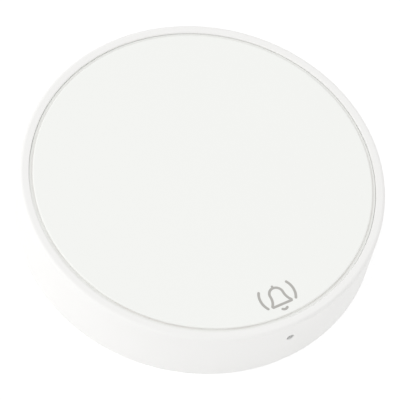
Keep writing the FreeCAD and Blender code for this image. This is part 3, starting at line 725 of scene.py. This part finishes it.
# %% Plastics and metals inside
inside = {}
for name, solid, colour, grain, cloud, sheen in (
    ("holder black", "battery_holder", (0.018, 0.018, 0.02, 1), 0.2, 0.06, (0.42, 0.6)),
    ("switch black", "switch_base", (0.02, 0.02, 0.021, 1), 0.1, 0.04, (0.35, 0.5)),
    ("stem grey", "switch_stem", from_screen(206, 206, 202), 0.1, 0.03, (0.3, 0.42)),
    ("store resin", "storage_capacitor", from_screen(222, 176, 60), 0.1, 0.05, (0.28, 0.4)),
    ("tan ceramic", "chip_capacitors", from_screen(176, 148, 112), 0.06, 0.08, (0.4, 0.55)),
    ("black ceramic", "chip_resistors", (0.02, 0.02, 0.02, 1), 0.06, 0.04, (0.3, 0.45)),
):
    inside[name] = dress(plastic(name, colour, grain, cloud=cloud, sheen=sheen), solid)
for name, solids, colour, stretch, line, polish, mottle in (
    ("contact steel", ("negative_contact", "positive_contact", "switch_dome"),
     (0.66, 0.63, 0.57, 1), (1, 14, 1), 0.08, 0.2, 0.12),
    ("switch steel", ("switch_cover",), (0.62, 0.61, 0.58, 1), (12, 1, 1), 0.08, 0.24, 0.12),
    ("shield steel", ("radio_shield",), (0.62, 0.62, 0.6, 1), (1, 16, 1), 0.1, 0.3, 0.2),
    ("crystal steel", ("timing_crystal",), (0.66, 0.65, 0.6, 1), (6, 1, 1), 0.08, 0.16, 0.12),
    ("tinned brass", ("switch_terminals",), (0.6, 0.59, 0.56, 1), (1, 1, 1), 0.15, 0.26, 0.22),
):
    inside[name] = dress(metal(name, colour, stretch, line, polish, mottle), *solids)
switch_black, contact_steel = inside["switch black"], inside["contact steel"]
tinned = inside["tinned brass"]

# %% [markdown]
# The coin cell is drawn steel, turned bright in a band near its rim, where the can is rolled over the
# gasket. The ring group places that band, and fine circles follow from a sine of the distance to the axis.

# %% Coin cell
bright_ring = (10.2, 12.3, 0.6)
can_steel, bright_steel, bright_roughness = (0.64, 0.64, 0.63, 1), (0.74, 0.74, 0.73, 1), -0.1
turning_pitch, turning_depth = 0.12, 0.001

tree, shader, cell_steel = new_material("cell can")
skin = place_group(tree, rolled_metal, {
    "Colour": can_steel, "Stretch": (1, 1, 1), "Line mm": 0.3, "Polish": 0.26, "Mottle": 0.18,
})
bright = ring_mask(tree, *bright_ring)
feed(tree, shader, {
    "Metallic": 1.0, "Base Color": mix_colours(tree, bright, skin["Colour"], bright_steel),
    "Roughness": calculate(tree, "MULTIPLY_ADD", bright, bright_roughness, skin["Roughness"]),
})
circles = calculate(tree, "MULTIPLY", axis_distance(tree), 2 * math.pi / (turning_pitch * MM))
add_bump(tree, shader, calculate(tree, "SINE", circles), turning_depth)
dress(cell_steel, "coin_cell")

# %% [markdown]
# A black gasket keeps the cell's can and its cap apart, and a plus sign is stamped into the can's bottom.
# The gasket is a profile carried round the axis. The stamp's wall is too thin to be cut, so its two bars
# stand out by a few hundredths of a millimetre instead.

# %% Gasket and plus mark of the cell
cell_low, cell_high = reach("coin_cell", "z")
gasket_inner, gasket_outer, gasket_bevel = 11.2, 11.55, 0.1
gasket_foot, gasket_side, gasket_top = cell_high - 0.5, cell_high - 0.28, cell_high - 0.2
plus_y, plus_arm, plus_width = -5.0, 2.2, 0.7
stamp_height, stamp_step, stamp_root = 0.05, 0.004, 0.02


def lathe(profile, x=0.0, y=0.0, steps=48):
    """Profile of radius and height carried once round an upright axis."""
    profile = np.array(profile, dtype=float)
    turn = np.linspace(0, 2 * math.pi, steps + 1)[None, :]
    across = x + profile[:, :1] * np.cos(turn)
    upward = y + profile[:, :1] * np.sin(turn)
    return np.stack([across, upward, np.repeat(profile[:, 1:], steps + 1, axis=1)], axis=-1)


def plus_sign(y, arm):
    """The two bars of a plus sign on the puck's middle line, each reaching one arm from its centre."""
    return [np.array([(-arm, y), (arm, y)]), np.array([(0, y - arm), (0, y + arm)])]


gasket = lathe([
    (gasket_inner, gasket_foot), (gasket_outer, gasket_foot), (gasket_outer, gasket_side),
    (gasket_outer - gasket_bevel, gasket_top), (gasket_inner, gasket_top), (gasket_inner, gasket_foot),
], steps=96)
make_piece("cell_gasket", [gasket], switch_black, sharp=40)
stamp_low, stamp_high = cell_low - stamp_height, cell_low + stamp_root
stamp = film(plus_sign(plus_y, plus_arm), plus_width, stamp_low, stamp_high, low_step=stamp_step)
make_piece("cell_plus_mark", stamp, cell_steel)

# %% [markdown]
# The click of the switch comes from a snap dome, a thin steel cap that the stem pushes flat. One profile
# carried round its axis makes it, with a dimple in the middle.

# %% Snap dome
snap_radius, snap_sheet = 2.2, 0.1
dimple_radius, dimple_depth = 0.5, 0.06
snap_foot, snap_crown = reach("switch_dome", "z")


def snap_profile():
    """Both sides of a shallow cap: the height falls with the square of the radius, less a dimple."""
    radius = np.linspace(0, snap_radius, 40)
    dimple = dimple_depth * np.exp(-(radius / dimple_radius) ** 4)
    upper = snap_crown - (snap_crown - snap_foot - snap_sheet) * (radius / snap_radius) ** 2 - dimple
    outer_side = np.stack([radius, upper], axis=1)
    inner_side = outer_side[::-1] - (0, snap_sheet)
    return np.concatenate([outer_side, inner_side])


snap_dome = make_piece("snap_dome", [lathe(snap_profile())], contact_steel, sharp=50)
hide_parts("switch_dome")
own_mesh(snap_dome)

# %% [markdown]
# Small chips are ceramic with tinned ends, and so is the large capacitor, which also has a dark band that
# marks its positive end. An end is a block with soft edges: a sphere whose sines and cosines are raised to
# a small power, which takes fewer faces than a bevelled cube.

# %% Tinned ends and the polarity band
chip_circle, chip_step, chip_count = 17.5, 6, 5
capacitor_first, resistor_first, store_angle = 210, 306, 249
chip_length, chip_width, chip_end = 1.6, 0.8, 0.35
capacitor_height, resistor_height = 0.8, 0.45
store_length, store_width, store_height = 6.0, 3.2, 1.6
tab_width, tab_height, tab_length = 2.0, 0.9, 0.6
plating, band_width, band_shift = 0.05, 0.8, 2.2
sides = (-1, 1)


def squared(value, power):
    """Sine or cosine raised to a small power with its sign kept, which makes a soft square of a circle."""
    return np.sign(value) * np.abs(value) ** power


def soft_block(centre, size, angle=0.0, softness=0.16):
    """Block with rounded edges, turned about the vertical by an angle in degrees.

    Each coordinate is half the size times a softened sine or cosine. The smaller the power, the squarer the
    block.
    """
    level = np.linspace(-math.pi / 2, math.pi / 2, 15)[:, None]
    turn = np.linspace(-math.pi, math.pi, 33)[None, :]
    x = size[0] / 2 * squared(np.cos(level), softness) * squared(np.cos(turn), softness)
    y = size[1] / 2 * squared(np.cos(level), softness) * squared(np.sin(turn), softness)
    z = size[2] / 2 * squared(np.sin(level), softness) + 0 * turn
    across, upward = turned(x, y, angle)
    return np.stack([centre[0] + across, centre[1] + upward, centre[2] + z], axis=-1)


def chip_ends(angle, length, width, height, end):
    """Two tinned ends of a chip under the board, a film of tin larger than the chip all round."""
    middle, shift = board_bottom - height / 2, (length - end) / 2
    size = (width + plating, end + plating, height + plating)
    centres = [(*turned(chip_circle, side * shift, angle), middle) for side in sides]
    return [soft_block(centre, size, angle) for centre in centres]


end_grids = []
for number in range(chip_count):
    for first, height in ((capacitor_first, capacitor_height), (resistor_first, resistor_height)):
        end_grids += chip_ends(first + chip_step * number, chip_length, chip_width, height, chip_end)
end_grids += chip_ends(store_angle, store_length, tab_width, tab_height, tab_length)
make_piece("tinned_ends", end_grids, tinned, sharp=50)

band_centre = (*turned(chip_circle, band_shift, store_angle), board_bottom - store_height / 2)
band_size = (store_width + plating, band_width, store_height + plating)
band_block = soft_block(band_centre, band_size, store_angle, softness=0.1)
band_brown = plastic("band brown", from_screen(120, 72, 36), grain=0.1, cloud=0.04)
make_piece("polarity_band", [band_block], band_brown, sharp=50)

# %% [markdown]
# Copper tracks run under the mask and show as a paler relief. Three arcs round the cell carry power and
# signals, and short radial tracks join them to the chips and to test pads. On top, tracks go from the lamp
# and the switch to small vias.

# %% Tracks of the main board
track_width, track_film, film_root, film_step = 0.3, 0.03, 0.01, 0.001
bus_radii, bus_first, bus_last, bus_stagger = (14.5, 15.1, 15.7), 128, 412, 3
chip_track_end = 17.0
test_circle, test_angles = 22.0, (-6, 0, 6, 174, 180, 186)
lug_size = (0.9, 0.8, 0.3)
under_low, under_high = board_bottom - track_film, board_bottom + film_root
upper_low, upper_high = board_top - film_root, board_top + track_film


def radial(angle, inner, outer):
    """Straight path outwards from one radius to another."""
    return np.linspace(inner, outer, 12)[:, None] * turned(1, 0, angle)


def last_foot(node, size):
    """Centre of a foot of a size that ends at the highest x and y of a solid."""
    return [reach(node, axis)[1] - side / 2 for axis, side in zip("xy", size)]


lug_x, lug_y = last_foot("status_led", lug_size)
lamp_route = [(2.3, lug_y), (2.3, -16.0), (1.0, -12.0)]
switch_route = [(4.0, 2.25), (7.5, 2.25), (9.0, 3.6)]
chip_angles = [
    first + chip_step * number
    for first in (capacitor_first, resistor_first) for number in range(chip_count)
]
under_paths = [
    arc(0, 0, radius, bus_first + bus_stagger * number, bus_last - bus_stagger * number, 120)
    for number, radius in enumerate(bus_radii)
]
for angles, end in ((chip_angles, chip_track_end), (test_angles, test_circle)):
    under_paths += [radial(angle, bus_radii[number % 3], end) for number, angle in enumerate(angles)]
upper_paths = [np.array(lamp_route) * (side, 1) for side in sides]
upper_paths += [np.array(switch_route) * (side, row) for side in sides for row in sides]
tracks = film(under_paths, track_width, under_low, under_high, low_step=film_step)
tracks += film(upper_paths, track_width, upper_low, upper_high)
masked_copper = plastic("masked copper", (0.05, 0.3, 0.1, 1), grain=0.4, cloud=0.06, sheen=(0.2, 0.3))
make_piece("board_tracks", tracks, masked_copper)

# %% [markdown]
# Bare copper is tinned: test pads under the board, which show through the screw slots of the rear cover,
# rings under the screw bosses, and the vias where a track passes to the other side. All are rings or discs
# carried round their own axis.

# %% Pads and vias
test_pad_radius, test_pad_film = 0.75, 0.02
screw_pad_radius, screw_pad_hole = 2.1, 1.05
via_radius, via_hole, via_film = 0.45, 0.15, 0.01


def pad(x, y, radius, low, high, hole=0.0):
    """Round pad, with a hole in its middle where one is given."""
    return lathe([(hole, low), (radius, low), (radius, high), (hole, high), (hole, low)], x, y, steps=28)


pads = [
    pad(*turned(test_circle, 0, angle), test_pad_radius, under_low - test_pad_film, under_high)
    for angle in test_angles
]
pads += [
    pad(*turned(screw_circle, 0, angle), screw_pad_radius, upper_low, upper_high, screw_pad_hole)
    for angle in screw_angles
]
pads += [pad(*path[-1], via_radius, upper_low, upper_high + via_film, via_hole) for path in upper_paths]
make_piece("board_pads", pads, tinned, sharp=40)

# %% [markdown]
# The legs of the switch and the lugs of the lamp are soldered to the top of the board. Molten solder climbs
# a foot and runs out thin on its pad, so its side is hollow. A bump couldn't give that outline, so each
# joint is a low mound whose spare round the foot falls with the square of the height that is still to
# climb.

# %% Solder joints
solder_spare, solder_softness, solder_edge, solder_under_top = 0.3, 0.3, 0.015, 0.03
leg_size = (1.2, 0.7, 0.2)
leg_x, leg_y = last_foot("switch_terminals", leg_size)


def solder_mound(x, y, length, width, rise):
    """Solder round a rectangular foot: the straight edge of a pad, then a hollow side up to a height.

    Each level is a rectangle with soft corners: half its size times a softened sine or cosine. A point in
    the middle of the bottom and one in the middle of the top close it.
    """
    pad_high, top = upper_high + solder_edge, board_top + rise - solder_under_top
    climb = np.linspace(0, 1, 8)
    spare = solder_spare * (1 - np.concatenate([[0, 0], climb, [1]])[:, None]) ** 2
    spread = np.concatenate([[0], np.ones(9), [0]])[:, None]
    height = np.concatenate([[upper_low, upper_low], pad_high + climb * (top - pad_high), [top]])[:, None]
    turn = np.linspace(-math.pi, math.pi, 49)[None, :]
    across = spread * (length / 2 + spare) * squared(np.cos(turn), solder_softness)
    upward = spread * (width / 2 + spare) * squared(np.sin(turn), solder_softness)
    return np.stack([x + across, y + upward, height + 0 * turn], axis=-1)


solder = metal("solder", (0.66, 0.66, 0.65, 1), stretch=(1, 1, 1), line=0.3, polish=0.12, mottle=0.15)
mounds = [solder_mound(side * leg_x, row * leg_y, *leg_size) for side in sides for row in sides]
mounds += [solder_mound(side * lug_x, lug_y, *lug_size) for side in sides]
make_piece("solder_joints", mounds, solder, sharp=50)

# %% [markdown]
# White print on the board shows where each part sits: frames round the switch, the crystal, the large
# capacitor and the radio module, one longer frame round each row of chips, rings round the holes for the
# guide posts, an arc round the cell holder, and a plus sign at the positive contact. Each line is a strip
# on top of the mask and the tracks.

# %% Printed outlines on the board
print_width, print_film = 0.15, 0.045
print_corner, print_spare = 0.3, 0.25
switch_frame = (9.4, 7.4)
crystal_length, crystal_width, crystal_angle = 3.2, 1.5, 292
row_frame_width, row_frame_spare = 1.5, 3.2
post_ring_radius = 2.0
holder_radius, holder_first, holder_last = 14.0, 104, 436
contact_plus_y, contact_plus_arm = -17.0, 0.6
radio_low, radio_high = (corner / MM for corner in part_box("radio_board"))


def rounded_frame(length, width, x=0.0, y=0.0, angle=0.0):
    """Closed path round a rectangle turned about its centre: quarter arcs joined by straight lines."""
    half_length, half_width = length / 2 - print_corner, width / 2 - print_corner
    path = np.concatenate([
        arc(across * half_length, upward * half_width, print_corner, first, first + 90, 6)
        for across, upward, first in ((1, 1, 0), (-1, 1, 90), (-1, -1, 180), (1, -1, 270))
    ])
    return np.stack(turned(path[:, 0], path[:, 1], angle), axis=1) + (x, y)


def part_frame(length, width, x, y, angle=0.0):
    """Frame that is larger by the printed spare all round than the part it is for."""
    return rounded_frame(length + 2 * print_spare, width + 2 * print_spare, x, y, angle)


def row_frame(first):
    """Closed path round a row of chips: two arcs about the board's centre, joined at their ends."""
    start, end = first - row_frame_spare, first + chip_step * (chip_count - 1) + row_frame_spare
    inner = arc(0, 0, chip_circle - row_frame_width / 2, start, end)
    outer = arc(0, 0, chip_circle + row_frame_width / 2, end, start)
    return np.concatenate([inner, outer])


store_place, crystal_place = turned(chip_circle, 0, store_angle), turned(chip_circle, 0, crystal_angle)
radio_length, radio_width = radio_high.x - radio_low.x, radio_high.y - radio_low.y
under_frames = [
    part_frame(radio_length, radio_width, 0, radio_low.y + radio_width / 2),
    part_frame(store_length, store_width, *store_place, store_angle + 90),
    part_frame(crystal_length, crystal_width, *crystal_place, crystal_angle + 90),
    row_frame(capacitor_first),
    row_frame(resistor_first),
]
upper_frames = [rounded_frame(*switch_frame)]
upper_frames += [
    arc(*turned(post_circle, 0, angle), post_ring_radius, 0, 360, 73)[:-1] for angle in post_angles
]
open_lines = [arc(0, 0, holder_radius, holder_first, holder_last, 120)]
open_lines += plus_sign(contact_plus_y, contact_plus_arm)
print_low, print_high = under_high - print_film, upper_low + print_film
prints = film(under_frames, print_width, print_low - film_root, under_high, closed=True)
prints += film(upper_frames, print_width, upper_low, print_high + film_root, closed=True)
prints += film(open_lines, print_width, print_low, under_high, low_step=film_step)
print_white = plastic("board print", from_screen(226, 228, 222), grain=0.08, cloud=0.05, sheen=(0.5, 0.65))
make_piece("board_print", prints, print_white)

# %% [markdown]
# The radio module is soldered by half-round pads along its sides, and its aerial is a track that winds to
# and fro on the free end that the shield leaves open. A sine cut off at both sides gives that wave in one
# line.

# %% Radio pads and aerial
side_pad_count, side_pad_first, side_pad_pitch = 6, 1.2, 1.1
side_pad_size, side_pad_height = (0.16, 0.6, 0.84), 0.38
aerial_margin, aerial_end, aerial_pitch, aerial_steepness = 0.35, 0.8, 1.9, 3.0
shield_back = reach("radio_shield", "y")[1]

side_pads = [
    soft_block((side * radio_high.x, y, radio_low.z + side_pad_height), side_pad_size, softness=0.25)
    for y in radio_low.y + side_pad_first + side_pad_pitch * np.arange(side_pad_count) for side in sides
]
make_piece("radio_side_pads", side_pads, tinned, sharp=50)

aerial_x = np.linspace(radio_low.x + aerial_end, radio_high.x - aerial_end, 240)
wave = aerial_steepness * np.sin(2 * math.pi * (aerial_x - aerial_x[0]) / aerial_pitch)
aerial_swing = (radio_high.y - shield_back) / 2 - aerial_margin
aerial_y = (radio_high.y + shield_back) / 2 + aerial_swing * np.clip(wave, -1, 1)
aerial_path = np.stack([aerial_x, aerial_y], axis=1)
aerial = strip(aerial_path, track_width, radio_low.z - track_film, radio_low.z + film_root)
aerial_copper = plastic("aerial copper", (0.05, 0.16, 0.3, 1), grain=0.4, cloud=0.05, sheen=(0.2, 0.3))
make_piece("aerial_track", [aerial], aerial_copper)

# %% [markdown]
# Four rivets hold the switch's cover. They are melted flat from pins of its own base, so each is a low
# button: a quarter of an ellipse carried round its axis.

# %% Switch rivets
rivet_place, rivet_radius, rivet_sink, rivet_rise = 2.35, 0.34, 0.05, 0.2
rivet_foot = reach("switch_cover", "z")[1] - rivet_sink

bend = np.linspace(0, math.pi / 2, 8)
rivet_side = np.stack([rivet_radius * np.cos(bend), rivet_foot + rivet_rise * np.sin(bend)], axis=1)
rivet_profile = np.concatenate([[(0, rivet_foot)], rivet_side])
rivets = [lathe(rivet_profile, x * rivet_place, y * rivet_place, steps=24) for x in sides for y in sides]
make_piece("switch_rivets", rivets, switch_black, sharp=60)

# %% [markdown]
# On the foot of the housing, a dot and a small ring tell how far to twist: the cover's arrow points at the
# dot when the puck is locked, and at the ring when it comes off.

# %% Twist marks
mark_circle, mark_radius, mark_hole, mark_film, mark_root = 33.9, 0.42, 0.24, 0.03, 0.02
locked_angle, twist = 270, 20
foot_low = reach("front_housing", "z")[0]

marks = [
    pad(*turned(mark_circle, 0, angle), mark_radius, foot_low - mark_film, foot_low + mark_root, hole)
    for angle, hole in ((locked_angle, 0.0), (locked_angle - twist, mark_hole))
]
make_piece("twist_marks", marks, sign_ink, sharp=40)

# %% [markdown]
# The floor is plain and pale. The photograph's background is pure white, so the floor shows the camera a
# white of its own and only a share of its real shading, which keeps a soft shadow under the puck. Its back
# is clear, so that the underside can be looked at from below.

# %% Floor
floor_half, shadow_share, floor_white = 3.0, 0.35, 1.12
floor_patch, floor_dull, floor_pale = 30, (0.94, 0.94, 0.94, 1), (0.97, 0.97, 0.97, 1)

floor_points = [(x * floor_half, y * floor_half, 0) for x, y in ((-1, -1), (1, -1), (1, 1), (-1, 1))]
floor_mesh = bpy.data.meshes.new("floor")
floor_mesh.from_pydata(floor_points, [], [(0, 1, 2, 3)])
floor = add_object("floor", floor_mesh)


def mix_shaders(tree, share, first, second):
    """Socket with two shaders mixed by a share."""
    return add_node(tree, "ShaderNodeMixShader", {0: share, 1: first, 2: second}).outputs["Shader"]


tree, shader, floor_material = new_material("floor")
floor_colour = mix_colours(tree, noise(tree, floor_patch), floor_dull, floor_pale)
feed(tree, shader, {"Base Color": floor_colour, "Roughness": 0.9, "Specular IOR Level": 0.1})
own_white = add_node(tree, "ShaderNodeEmission", {"Color": (1, 1, 1, 1), "Strength": floor_white})
ray = add_node(tree, "ShaderNodeLightPath").outputs
seen = calculate(tree, "MAXIMUM", ray["Is Camera Ray"], ray["Is Glossy Ray"])
seen = calculate(tree, "MAXIMUM", seen, ray["Is Transmission Ray"])
white_share = calculate(tree, "MULTIPLY", seen, 1 - shadow_share)
front = mix_shaders(tree, white_share, shader.outputs["BSDF"], own_white.outputs["Emission"])
clear = add_node(tree, "ShaderNodeBsdfTransparent").outputs["BSDF"]
behind = add_node(tree, "ShaderNodeNewGeometry").outputs["Backfacing"]
feed(tree, tree.nodes["Material Output"], {"Surface": mix_shaders(tree, behind, front, clear)})
floor_mesh.materials.append(floor_material)
print("floor", 2 * floor_half, "m wide")

# %% [markdown]
# One large soft box stands on the left of the picture. A lamp's power is worked out from the share of full
# brightness that it should add to a white card facing it: power is share times pi squared times the
# distance squared. The room, further down, fills the rest, so that a colour shows about as it is written.

# %% Key lamp
key_distance, key_size, key_share = 0.9, 0.7, 0.155
key_left, key_front, key_up = 0.75, 0.15, 0.3
picture_right = level_view @ Vector((1, 0, 0))
key_direction = -picture_right * key_left + towards_camera * key_front + Vector((0, 0, key_up))

key = bpy.data.lights.new("key", "AREA")
key.shape, key.size = "SQUARE", key_size
key.energy = key_share * math.pi ** 2 * key_distance ** 2
add_object("key", key, key_direction.normalized() * key_distance, (-key_direction).to_track_quat("-Z", "Y"))
print("key power", round(key.energy, 2), "W")

# %% [markdown]
# The floor keeps the room's light off the underside, so a soft sun from below lights it for views from
# there. It is linked to the puck alone, for what it lights and for what casts its shadows, so the floor
# neither stops it nor shows it. It comes from a little behind, so it can't brighten the wall that the
# camera sees.

# %% Light for the underside
below_share, below_width, below_direction = 0.31, 8, Vector((-0.12, -0.12, 1))

puck = bpy.data.collections.new("lit from below")
for item in bpy.context.scene.objects:
    if item.type == "MESH" and item != floor:
        puck.objects.link(item)
below = bpy.data.lights.new("below", "SUN")
below.energy, below.angle = below_share * math.pi, math.radians(below_width)
below_lamp = add_object("below", below, turn=below_direction.to_track_quat("-Z", "Y"))
below_lamp.light_linking.receiver_collection = puck
below_lamp.light_linking.blocker_collection = puck

# %% [markdown]
# The room is white all round, which fills every shadow softly. It is a little brighter on the picture's
# left than on its right, as beside a window, so the wall's shade falls off to the right. The camera and
# clear plastic see it as pure white, whatever light it gives.

# %% Room
room_light, room_slope = 0.945, 0.14

world = bpy.data.worlds.new("room")
bpy.context.scene.world = world
world.use_nodes = True
tree = world.node_tree
ray = add_node(tree, "ShaderNodeLightPath").outputs
seen = calculate(tree, "MAXIMUM", ray["Is Camera Ray"], ray["Is Transmission Ray"])
compass = {0: add_node(tree, "ShaderNodeTexCoord").outputs["Generated"], 1: picture_right}
rightward = add_node(tree, "ShaderNodeVectorMath", compass, operation="DOT_PRODUCT").outputs["Value"]
room = calculate(tree, "MULTIPLY_ADD", rightward, -room_slope * room_light, room_light)
strength = span(tree, seen, 0.0, 1.0, room, 1.0, kind="LINEAR")
feed(tree, tree.nodes["Background"], {"Color": (1, 1, 1, 1), "Strength": strength})
bpy.context.scene.view_settings.view_transform = "Standard"
print("room light", round(room_light * (1 + room_slope), 3), "to", round(room_light * (1 - room_slope), 3))
